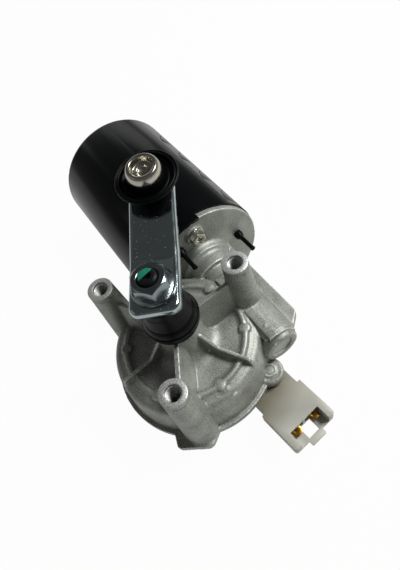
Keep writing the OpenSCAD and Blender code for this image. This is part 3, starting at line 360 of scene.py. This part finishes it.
# %% Inside the motor: copper, bronze, ferrite and paper board
inner = {}
for name, base, metallic, rough, size, low, high in [
        ("bare_copper", "#b06a45", 1.0, 0.35, 1.0, 0.25, 0.5),
        ("oiled_sintered_bronze", "#8a6a42", 0.9, 0.5, 0.6, 0.4, 0.62),
        ("pressed_ferrite", "#2c2d2f", 0.0, 0.75, 0.8, 0.6, 0.85),
        ("phenolic_board", "#4a3320", 0.0, 0.5, 1.5, 0.4, 0.6)]:
    inner[name], tree, shader, place = finish(name, base, metallic, rough)
    cloud = noise(tree, place, size)
    dull_by(tree, shader, cloud, low, high)
    pit_by(tree, shader, cloud, 0.2, 0.04)

# %% Which part has which finish
worn_by = {
    cast: "gear_housing",
    zinc: "crank_arm hub_washer",
    oiled_zinc: "crank_nut",
    dull_zinc: "cover_screws magnet_clips retaining_ring brush_springs",
    enamel: "motor_yoke yoke_end_cap",
    nickel: "brush_plate_screws ball_stud",
    steel: "wheel_hub armature_shaft thrust_ball armature_core",
    black_steel: "output_shaft",
    brass: "brush_holders connector_terminals park_contacts contact_disc",
    rubber: "cover_gasket shaft_seal tower_boot vent_plugs ball_dust_cup",
    nylon: "worm_wheel thrust_plug",
    soiled_nylon: "connector_housing",
    black_nylon: "rear_cover contact_carrier",
    inner["bare_copper"]: "chokes armature_windings commutator",
    inner["oiled_sintered_bronze"]: "end_bush neck_bush worm_end_bush tower_bushes",
    inner["pressed_ferrite"]: "magnets carbon_brushes",
    inner["phenolic_board"]: "brush_plate commutator_hub",
}
material_of = {n: m for m, names in worn_by.items() for n in names.split()}
for n, part in nodes.items():
    part.data.materials.clear()
    part.data.materials.append(material_of[n])
print("parts with a finish:", len(material_of))

# %% [markdown]
# ## Softer copies of the hard parts
# A CAD solid has knife edges. A pressed or machined part never does: every edge has a small
# break that catches the light. So the parts that show are copied, their loose triangles are
# merged, and a bevel with a real width is cut on the sharp edges.

# %% Copy a part and break its edges
WELD, SHARP_FROM, SMOOTH_UP_TO, FLAT_WITHIN = 0.002, 38, 32, 0.5


def copy_of(node, name):
    """A merged copy of a CAD part, alone and selected."""
    bpy.ops.object.select_all(action="DESELECT")
    piece = nodes[node].copy()
    piece.data = nodes[node].data.copy()
    for key in list(piece.keys()):
        del piece[key]
    piece.name = piece.data.name = name
    piece.parent = None
    bpy.context.scene.collection.objects.link(piece)
    bpy.context.view_layer.objects.active = piece
    piece.select_set(True)
    bpy.ops.object.mode_set(mode="EDIT")
    bpy.ops.mesh.select_all(action="SELECT")
    bpy.ops.mesh.remove_doubles(threshold=WELD * MM)
    bpy.ops.object.mode_set(mode="OBJECT")
    return piece


def apply_all(piece):
    """Makes the modifiers part of the mesh, from the first to the last."""
    bpy.context.view_layer.objects.active = piece
    for modifier in list(piece.modifiers):
        bpy.ops.object.modifier_apply(modifier=modifier.name)


def stand_in(piece, *replaced):
    """The piece rides where its CAD parts ride and stands for them; they are hidden."""
    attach(piece, node_body[replaced[0]])
    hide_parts(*replaced)
    return piece


def edge_broken(node, width):
    """A copy whose sharp edges have a bevel of that width in millimetres."""
    piece = copy_of(node, node + "_finished")
    bpy.ops.object.mode_set(mode="EDIT")
    bpy.ops.mesh.dissolve_limited(angle_limit=math.radians(FLAT_WITHIN))
    bpy.ops.object.mode_set(mode="OBJECT")
    bevel = piece.modifiers.new("broken_edges", "BEVEL")
    bevel.width, bevel.segments = width * MM, 2
    bevel.limit_method, bevel.angle_limit = "ANGLE", math.radians(SHARP_FROM)
    apply_all(piece)
    bpy.ops.object.shade_smooth_by_angle(angle=math.radians(SMOOTH_UP_TO))
    return stand_in(piece, node)


def moved(piece, matrix):
    """Puts a finished piece where it belongs and leaves that place in its mesh."""
    piece.data.transform(matrix)
    return piece


for node, width in {"crank_nut": 0.35, "brush_plate_screws": 0.25, "cover_screws": 0.2,
                    "connector_housing": 0.35, "connector_terminals": 0.12, "motor_yoke": 0.2,
                    "yoke_end_cap": 0.3, "rear_cover": 0.3, "output_shaft": 0.2,
                    "cover_gasket": 0.2, "shaft_seal": 0.15}.items():
    made = edge_broken(node, width)
    print(made.name, len(made.data.polygons), "faces")

# %% The cover screws' ends are as dull as the casting
TIPS_ABOVE = -57
tips = bpy.data.objects["cover_screws_finished"]
tips.data.materials.append(cast)
for face in tips.data.polygons:
    if face.center.z / MM > TIPS_ABOVE:
        face.material_index = 1

# %% The nut stops where it is tight, not square with the arm
NUT_TURN = math.radians(-20)
moved(bpy.data.objects["crank_nut_finished"], Matrix.Rotation(NUT_TURN, 4, "Z"))

# %% [markdown]
# ## Crank arm
# The arm is punched from thick strip. The punch drags the metal down as it goes in, so the upper
# edge is a wide soft roll and the lower one is nearly sharp. The press that bends the arm leaves
# a short line across it, beside the nut.

# %% Arm with a rolled upper edge
ARM_TURN, ARM_TOP, BEND_AT, STUD_AT = math.radians(148.3), 22.0, 14.3, 55.0
ROLL, SHARP, LINE_R, LINE_HALF, LINE_UP = 2.1, 0.35, 0.8, 8.8, 0.45
arm = copy_of("crank_arm", "crank_arm_finished")
out_along = Vector((math.cos(ARM_TURN), math.sin(ARM_TURN), 0))
bpy.ops.mesh.primitive_cylinder_add(vertices=32, radius=LINE_R * MM, depth=2 * LINE_HALF * MM)
line = bpy.context.object
line.data.transform(Matrix.Translation(out_along * BEND_AT * MM
                                       + Vector((0, 0, ARM_TOP + LINE_UP)) * MM)
                    @ Matrix.Rotation(ARM_TURN, 4, "Z") @ Matrix.Rotation(math.pi / 2, 4, "X"))
cut = arm.modifiers.new("press_line", "BOOLEAN")
cut.object, cut.operation, cut.solver = line, "DIFFERENCE", "EXACT"
apply_all(arm)
bpy.data.objects.remove(line)
for wanted, width, rounds in ((1, ROLL, 5), (-1, SHARP, 2)):
    bpy.ops.object.mode_set(mode="EDIT")
    bpy.ops.mesh.select_all(action="SELECT")
    bpy.ops.mesh.dissolve_limited(angle_limit=math.radians(FLAT_WITHIN))
    bpy.ops.mesh.select_all(action="DESELECT")
    bpy.ops.object.mode_set(mode="OBJECT")
    for face in arm.data.polygons:
        face.select = face.normal.z * wanted > 0.95
    bpy.ops.object.mode_set(mode="EDIT")
    bpy.ops.mesh.select_mode(type="FACE")
    bpy.ops.mesh.region_to_loop()
    bpy.ops.object.mode_set(mode="OBJECT")
    for edge in arm.data.edges:
        if edge.select:
            middle = sum((arm.data.vertices[v].co for v in edge.vertices), Vector()) / 2 / MM
            along = middle.dot(out_along)
            aside = (middle - out_along * along).to_2d().length
            round_a_hole = aside < 9 and -8 < along < STUD_AT + 8.5
            edge.select = not round_a_hole
    bpy.ops.object.mode_set(mode="EDIT")
    bpy.ops.mesh.select_mode(type="EDGE")
    bpy.ops.mesh.bevel(offset=width * MM, segments=rounds, affect="EDGES")
    bpy.ops.object.mode_set(mode="OBJECT")
bpy.ops.object.select_all(action="DESELECT")
arm.select_set(True)
bpy.ops.object.shade_smooth_by_angle(angle=math.radians(SMOOTH_UP_TO))
stand_in(arm, "crank_arm")
print(arm.name, len(arm.data.polygons), "faces")

# %% [markdown]
# ## Rubber parts
# The boot, the ball's cup and the vents are round, so each is one closed outline that is spun
# round its axis: the outline starts as a ring of points, the points are moved to their radius
# and height, and the spin makes the skin. A bevel then rounds every ridge as a mould would.

# %% Spin a closed outline
def arc(centre_r, centre_z, radius, start, end, count):
    """Points on an arc, as (radius, height) pairs in millimetres."""
    turns = [math.radians(start + (end - start) * i / count) for i in range(count + 1)]
    return [(centre_r + radius * math.cos(t), centre_z + radius * math.sin(t)) for t in turns]


def turned(name, outline, steps=128, soften=0.0, segments=2):
    """A closed outline of (radius, height) points spun round Z."""
    bpy.ops.object.select_all(action="DESELECT")
    bpy.ops.mesh.primitive_circle_add(vertices=len(outline), radius=MM)
    piece = bpy.context.object
    piece.name = piece.data.name = name
    for point, (r, z) in zip(piece.data.vertices, outline):
        point.co = (max(r, 0.0) * MM, 0, z * MM)
    bpy.ops.object.mode_set(mode="EDIT")
    bpy.ops.mesh.select_all(action="SELECT")
    bpy.ops.mesh.spin(steps=steps, angle=2 * math.pi, center=(0, 0, 0), axis=(0, 0, 1))
    bpy.ops.mesh.select_all(action="SELECT")
    bpy.ops.mesh.remove_doubles(threshold=0.001 * MM)
    bpy.ops.mesh.delete_loose()
    bpy.ops.mesh.select_all(action="SELECT")
    bpy.ops.mesh.normals_make_consistent(inside=False)
    bpy.ops.object.mode_set(mode="OBJECT")
    if soften:
        bevel = piece.modifiers.new("moulded_ridges", "BEVEL")
        bevel.width, bevel.segments = soften * MM, segments
        bevel.limit_method, bevel.angle_limit = "ANGLE", math.radians(20)
        apply_all(piece)
    bpy.ops.object.shade_smooth_by_angle(angle=math.radians(35))
    return piece


def wear(piece, material):
    """Gives a piece one finish all over."""
    piece.data.materials.clear()
    piece.data.materials.append(material)
    return piece


# %% Boot on the tower
TOWER_R, TOWER_TOP, SHAFT_R = 10.6, -7.5, 6.0
BOOT_LOW, BOOT_TOP = [corner.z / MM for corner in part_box("tower_boot")]
boot_outline = [
    (TOWER_R + 0.4, BOOT_LOW), (TOWER_R + 1.4, BOOT_LOW), (TOWER_R + 1.9, BOOT_LOW + 0.6),
    (TOWER_R + 1.9, BOOT_LOW + 1.6), (TOWER_R + 1.5, BOOT_LOW + 2.0),
    (TOWER_R + 2.7, BOOT_LOW + 2.5), (TOWER_R + 2.9, BOOT_LOW + 3.2),
    (TOWER_R + 2.7, BOOT_LOW + 3.9), (TOWER_R + 2.3, BOOT_LOW + 4.2),
    (TOWER_R + 3.2, BOOT_LOW + 4.7), *arc(TOWER_R + 2.3, BOOT_LOW + 7.1, 1.3, -50, 20, 6),
    *arc(SHAFT_R + 1.4, BOOT_TOP - 20.5, TOWER_R + 1.5 - SHAFT_R, 2, 42, 14),
    (SHAFT_R + 4.6, BOOT_TOP - 9.6), (SHAFT_R + 4.5, BOOT_TOP - 8.7),
    (SHAFT_R + 5.0, BOOT_TOP - 8.2), (SHAFT_R + 4.9, BOOT_TOP - 3.0),
    (SHAFT_R + 3.6, BOOT_TOP - 0.8), (SHAFT_R + 2.8, BOOT_TOP), (SHAFT_R + 0.4, BOOT_TOP),
    (SHAFT_R + 0.4, BOOT_TOP - 2), (SHAFT_R + 2, BOOT_TOP - 3), (SHAFT_R + 2, BOOT_TOP - 12),
    (TOWER_R - 1.6, TOWER_TOP + 4), (TOWER_R - 1.6, TOWER_TOP), (TOWER_R + 0.02, TOWER_TOP),
    (TOWER_R + 0.02, TOWER_TOP - 0.8)]
boot = wear(turned("rubber_boot", boot_outline, soften=0.18), rubber)
stand_in(boot, "tower_boot")

# %% Cup round the ball
ARM_BEND = math.radians(6)
BALL_R, BALL_UP, COLLAR_R, CUP_R, CUP_LIP = 9.0, 8.8, 6.02, 15.8, 6.6
along_arm = (STUD_AT - BEND_AT + BALL_UP * math.sin(ARM_BEND)) / math.cos(ARM_BEND)
on_stud = (Matrix.Rotation(ARM_TURN, 4, "Z")
           @ Matrix.Translation(Vector((BEND_AT, 0, ARM_TOP)) * MM)
           @ Matrix.Rotation(-ARM_BEND, 4, "Y")
           @ Matrix.Translation(Vector((along_arm, 0, 0)) * MM))


def ball_radius(z):
    """How far the ball's skin is from its axis at that height above the arm."""
    return math.sqrt(BALL_R ** 2 - (z - BALL_UP) ** 2)


cup_outline = [
    (COLLAR_R, 0.05), (9.0, 0.05), (9.6, 0.9), *arc(CUP_R - 0.6, CUP_LIP - 0.6, 0.6, -40, 170, 8),
    (CUP_R - 1.15, CUP_LIP - 1.1), *arc(CUP_R - 1.8, CUP_LIP - 0.5, 0.6, 0, 180, 7),
    (CUP_R - 3.0, CUP_LIP - 1.9), (CUP_R - 4.5, CUP_LIP - 2.9), (10.4, 3.9), (9.8, 5.6),
    *[(ball_radius(z) + (0.5 if z > 7 else 0.06), z) for z in (7.2, 6.0, 4.5, 3.2, 2.4)],
    (COLLAR_R, 2.0)]
cup = wear(turned("rubber_ball_cup", cup_outline, soften=0.12), rubber)
stand_in(moved(cup, on_stud), "ball_dust_cup")
low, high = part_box("ball_dust_cup")
print("cup at", [round(v / MM, 1) for v in (low + high) / 2])

# %% Ball with a turned hollow
ball_outline = [(0, -6.1), (5.6, -6.1), (6.6, -5.3), (6.6, -4.5), (5, -4.5), (5, 0), (6, 0),
                (6.0, 2.1), *[(ball_radius(BALL_UP + d), BALL_UP + d) for d in
                              (-6, -5, -4, -3, -2, -1, 0, 1, 2, 3, 4, 4.7)],
                (7.2, BALL_UP + 5.2), (6.5, BALL_UP + 5.3), (5.9, BALL_UP + 5.1),
                (5.6, BALL_UP + 4.5), (5.4, BALL_UP + 2.6), (5.0, BALL_UP + 2.0),
                (3.3, BALL_UP + 1.7), (2.8, BALL_UP + 0.9), (0.9, BALL_UP + 0.3),
                (0, BALL_UP + 0.2)]
ball = wear(turned("ball_stud_finished", ball_outline, soften=0.14), nickel)
stand_in(moved(ball, on_stud), "ball_stud")

# %% [markdown]
# ## The casting
# The casting has no plain edges at all: metal that flows into a die leaves every inner corner
# filled and every outer corner round. A bevel would round the outer corners only, so the copy is
# wrapped in a fine even net instead, and relaxing the net rounds both kinds of corner alike. What
# the pattern maker adds by hand is put in before the net: the round crown over the worm, the
# thick web beside it, the broad foot of the third post, the bead with its six nodules, and the
# lip at the end of the worm's tube.

# %% Shapes to cut or add
AXIS_Y, AXIS_Z, FLANGE_X = 38.5, -43.9, -39.8
CROWN_R, CROWN_END, WEB_HALF, WEB_OUT = 11.7, 27.6, 4.0, 56.35
FACE_Z, BEAD_R = -31.5, 32.0
JOINT_Z, RIM_T, POST_R, POST_FOOT_R = -59.5, 4.6, 6.6, 8.96
POST_CIRCLE, POST_TURNS = 39.5, (330, 90, 210)


def at_post(turn):
    """From the middle of the tower to the post at that many degrees from +X."""
    a = math.radians(turn)
    return Matrix.Translation(Vector((math.cos(a), math.sin(a), 0)) * POST_CIRCLE * MM)


def prism(name, outline, low, high):
    """A closed outline of (x, y) points carried straight up from low to high."""
    bpy.ops.object.select_all(action="DESELECT")
    bpy.ops.mesh.primitive_circle_add(vertices=len(outline), radius=MM, fill_type="NGON")
    piece = bpy.context.object
    piece.name = piece.data.name = name
    for point, (x, y) in zip(piece.data.vertices, outline):
        point.co = (x * MM, y * MM, low * MM)
    bpy.ops.object.mode_set(mode="EDIT")
    bpy.ops.mesh.select_all(action="SELECT")
    bpy.ops.mesh.extrude_region_move(TRANSFORM_OT_translate={"value": (0, 0, (high - low) * MM)})
    bpy.ops.mesh.select_all(action="SELECT")
    bpy.ops.mesh.normals_make_consistent(inside=False)
    bpy.ops.object.mode_set(mode="OBJECT")
    return piece


# Local x and y of a prism become Y and Z round the armature's axis, and its height becomes X
round_axis = (Matrix.Translation(Vector((0, AXIS_Y, AXIS_Z)) * MM)
              @ Matrix(((0, 0, 1, 0), (1, 0, 0, 0), (0, 1, 0, 0), (0, 0, 0, 1))))
corner_outline = [*arc(0, 0, CROWN_R - 0.5, 90, 18, 12), (24, 3.5), (24, 45), (0, 45)]
square_corner = moved(prism("square_corner", corner_outline, -17.5, 33), round_axis)
crown = moved(prism("crown", [*arc(0, 0, CROWN_R, -80, 128, 40), *arc(0, 0, 9.9, 128, -80, 40)],
                    -31, CROWN_END), round_axis)
web = prism("web", [(FLANGE_X, AXIS_Y + 5), (CROWN_END, AXIS_Y + 5), (CROWN_END, 49.4),
                    (21.8, WEB_OUT), (FLANGE_X, WEB_OUT)], AXIS_Z - WEB_HALF, AXIS_Z + WEB_HALF)
foot = prism("foot", [(22, -25), (28.9, -33.2), (35.6, -35.6), (37.4, -34.7), (45.9, -22.2),
                      (45.8, -19.6), (42, -13.2), (30, -10)], JOINT_Z, JOINT_Z + RIM_T)
post = moved(turned("post", [(0, AXIS_Z), (POST_FOOT_R, AXIS_Z), (POST_R, -0.6),
                             (POST_R - 0.6, 0), (0, 0)], steps=72), at_post(90))

bpy.ops.object.select_all(action="DESELECT")
bpy.ops.mesh.primitive_torus_add(major_radius=BEAD_R * MM, minor_radius=1.75 * MM,
                                 major_segments=180, minor_segments=20,
                                 location=(0, 0, (FACE_Z - 0.95) * MM))
bead = bpy.context.object
bpy.ops.object.transform_apply(location=True)
nodule = [(0, -3), (3.1, -3), (3.0, 0.1), (2.6, 0.6), (1.4, 0.9), (0, 0.95)]
nodules = []
for turn in range(0, 360, 60):
    a = math.radians(turn)
    spot = Vector((BEAD_R * math.cos(a), BEAD_R * math.sin(a), FACE_Z)) * MM
    nodules.append(moved(turned("nodule", nodule, steps=32), Matrix.Translation(spot)))
end_lip = [(5.9, 27.5), (9.9, 27.5), (9.9, 31.4), (9.3, 32.2), (6.5, 32.2), (5.9, 31.5)]
lip = moved(turned("end_lip", end_lip, steps=64), round_axis)

# %% Soft skin for the casting
NET, RELAX_PASSES, MOST_TRIANGLES = 0.5, 2, 185000
casting = copy_of("gear_housing", "gear_housing_casting")
cut = casting.modifiers.new("round_crown", "BOOLEAN")
cut.object, cut.operation, cut.solver = square_corner, "DIFFERENCE", "MANIFOLD"
apply_all(casting)
print("after the cut:", len(casting.data.polygons), "faces")
bpy.data.objects.remove(square_corner)
for added in (crown, web, foot, post, bead, lip, *nodules):
    added.select_set(True)
casting.select_set(True)
bpy.context.view_layer.objects.active = casting
bpy.ops.object.join()
net = casting.modifiers.new("net", "REMESH")
net.mode, net.voxel_size, net.use_smooth_shade = "VOXEL", NET * MM, True
relax = casting.modifiers.new("relax", "SMOOTH")
relax.factor, relax.iterations = 0.5, RELAX_PASSES
apply_all(casting)
thin = casting.modifiers.new("thin", "DECIMATE")
thin.ratio = min(1.0, MOST_TRIANGLES / (2 * len(casting.data.polygons)))
apply_all(casting)
print(casting.name, len(casting.data.polygons), "faces")

# %% [markdown]
# The posts are faced, drilled and tapped after casting, so those faces are cut from the finished
# skin and keep their sharp edges. The net has rounded the upper end of each post, so a collar is
# put back first. One cutter, spun round the post's axis, then does the whole job as a stepped
# drill would. The thread is a ridge with a triangular section, wound up by Screw.

# %% Face, drill and countersink the posts
CORE_R, MAJOR_R, PITCH, TURNS, TAPPED, FACED = 3.35, 3.85, 1.25, 16, 22.5, -0.06
BORE_LOW, TOP_FROM, COLLAR_FROM, NEAR_POST = -24.3, -0.7, -2.42, 8
collar_outline = [(0, -2.4), (POST_R + 0.12, -2.4), (POST_R + 0.04, -0.3), (POST_R - 0.3, 0),
                  (0, 0)]
drill_outline = [(0, -24.2), (2.0, -24.2), (CORE_R, -23.4), (MAJOR_R + 0.02, -TAPPED),
                 (MAJOR_R + 0.02, -0.5), (MAJOR_R + 0.4, FACED), (9.0, FACED), (9.0, 1.5),
                 (0, 1.5)]
for turn in POST_TURNS:
    collar = moved(turned("collar", collar_outline, steps=72), at_post(turn))
    fresh = casting.modifiers.new("fresh_edge", "BOOLEAN")
    fresh.object, fresh.operation, fresh.solver = collar, "UNION", "MANIFOLD"
    apply_all(casting)
    bpy.data.objects.remove(collar)
    drill = moved(turned("drill", drill_outline, steps=72), at_post(turn))
    cut = casting.modifiers.new("drilled", "BOOLEAN")
    cut.object, cut.operation, cut.solver = drill, "DIFFERENCE", "MANIFOLD"
    apply_all(casting)
    bpy.data.objects.remove(drill)
# Slot 0 is the casting with painted shade in its creases and painted highlights on its edges
casting.data.materials.clear()
for material in (worn_cast, milled, bore, cast):
    casting.data.materials.append(material)
for face in casting.data.polygons:
    x, y = face.center.x / MM, face.center.y / MM
    z = face.center.z / MM
    near = min((x - POST_CIRCLE * math.cos(math.radians(t))) ** 2
               + (y - POST_CIRCLE * math.sin(math.radians(t))) ** 2 for t in POST_TURNS) ** 0.5
    # Faces inside the holes take the darker bore finish, which is painted shade
    in_bore = near < MAJOR_R + 0.03 and z > BORE_LOW
    on_top = near < NEAR_POST and z > TOP_FROM
    on_collar = near < NEAR_POST and z > COLLAR_FROM
    face.material_index = 2 if in_bore else 1 if on_top else 3 if on_collar else 0
bpy.ops.object.select_all(action="DESELECT")
casting.select_set(True)
bpy.context.view_layer.objects.active = casting
bpy.ops.object.shade_smooth_by_angle(angle=math.radians(50))
stand_in(casting, "gear_housing")

# %% Tapped threads
for number, turn in enumerate(POST_TURNS, 1):
    bpy.ops.object.select_all(action="DESELECT")
    bpy.ops.mesh.primitive_circle_add(vertices=4, radius=MM, fill_type="NOTHING")
    thread = bpy.context.object
    thread.name = thread.data.name = "tapped_thread_%d" % number
    for point, (r, z) in zip(thread.data.vertices,
                             [(MAJOR_R + 0.2, -0.5), (MAJOR_R + 0.2, 0.5), (CORE_R, 0.08),
                              (CORE_R, -0.08)]):
        point.co = (r * MM, 0, (z - 1.15) * MM)
    wind = thread.modifiers.new("wind", "SCREW")
    wind.angle, wind.screw_offset, wind.iterations = 2 * math.pi, -PITCH * MM, TURNS
    wind.steps, wind.render_steps, wind.use_merge_vertices = 48, 48, True
    wind.merge_threshold = 0.0001 * MM
    apply_all(thread)
    bpy.ops.object.mode_set(mode="EDIT")
    bpy.ops.mesh.select_all(action="SELECT")
    bpy.ops.mesh.fill_holes(sides=4)
    bpy.ops.mesh.select_all(action="SELECT")
    bpy.ops.mesh.normals_make_consistent(inside=False)
    bpy.ops.object.mode_set(mode="OBJECT")
    bpy.ops.object.shade_smooth_by_angle(angle=math.radians(30))
    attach(wear(moved(thread, at_post(turn)), milled), "housing")

# %% Vents in the flange
VENT_R, VENT_TURNS = 26.3, (11, 115)
vent_outline = [(0, -0.6), (1.55, -0.6), (1.55, 0.02), (2.5, 0.05), (2.65, 0.7), (2.5, 2.6),
                (2.1, 3.6), (1.5, 4.3), (1.32, 5.2), (1.28, 12.8), (1.34, 14.0), (1.52, 15.2),
                (1.45, 15.7), (0.8, 15.7), (0.7, 14.2), (0, 14.0)]
along_x = Matrix.Rotation(math.pi / 2, 4, "Y")
vents = []
for number, turn in enumerate(VENT_TURNS, 1):
    a = math.radians(turn)
    spot = Vector((FLANGE_X, AXIS_Y + VENT_R * math.cos(a), AXIS_Z + VENT_R * math.sin(a))) * MM
    vent = turned("rubber_vent_%d" % number, vent_outline, steps=48, soften=0.1)
    vents.append(wear(moved(vent, Matrix.Translation(spot) @ along_x), rubber))
    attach(vents[-1], "housing")
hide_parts("vent_plugs")

# %% [markdown]
# ## Paint on the shaft's end
# The nut is marked with green paint after it is tightened: one dab over half of the shaft's
# end. A thin disc is cut along a chord and its edge is rounded, so it stands up like wet paint.

# %% Green paint
green, tree, shader, place = finish("green_marking_paint", "#0f7a62", 0.0, 0.4)
pit_by(tree, shader, noise(tree, place, 1.0, 3.0), 0.3, 0.08)
SHAFT_TOP, DAB_R, DAB_T, CHORD_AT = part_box("output_shaft")[1].z, 3.7, 0.24, -0.5
bpy.ops.object.select_all(action="DESELECT")
bpy.ops.mesh.primitive_cylinder_add(vertices=64, radius=DAB_R * MM, depth=DAB_T * MM,
                                    location=(0, 0, SHAFT_TOP))
dab = bpy.context.object
dab.name = dab.data.name = "green_paint_dab"
bpy.ops.object.transform_apply(location=True, rotation=True, scale=True)
bpy.ops.object.mode_set(mode="EDIT")
bpy.ops.mesh.select_all(action="SELECT")
bpy.ops.mesh.bisect(plane_co=(CHORD_AT * MM, 0, 0), plane_no=(0.99, 0.14, 0), use_fill=True,
                    clear_outer=True)
bpy.ops.object.mode_set(mode="OBJECT")
edge = dab.modifiers.new("wet_edge", "BEVEL")
edge.width, edge.segments = 0.1 * MM, 2
apply_all(dab)
bpy.ops.object.shade_smooth_by_angle(angle=math.radians(40))
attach(wear(dab, green), "output")

low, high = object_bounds()
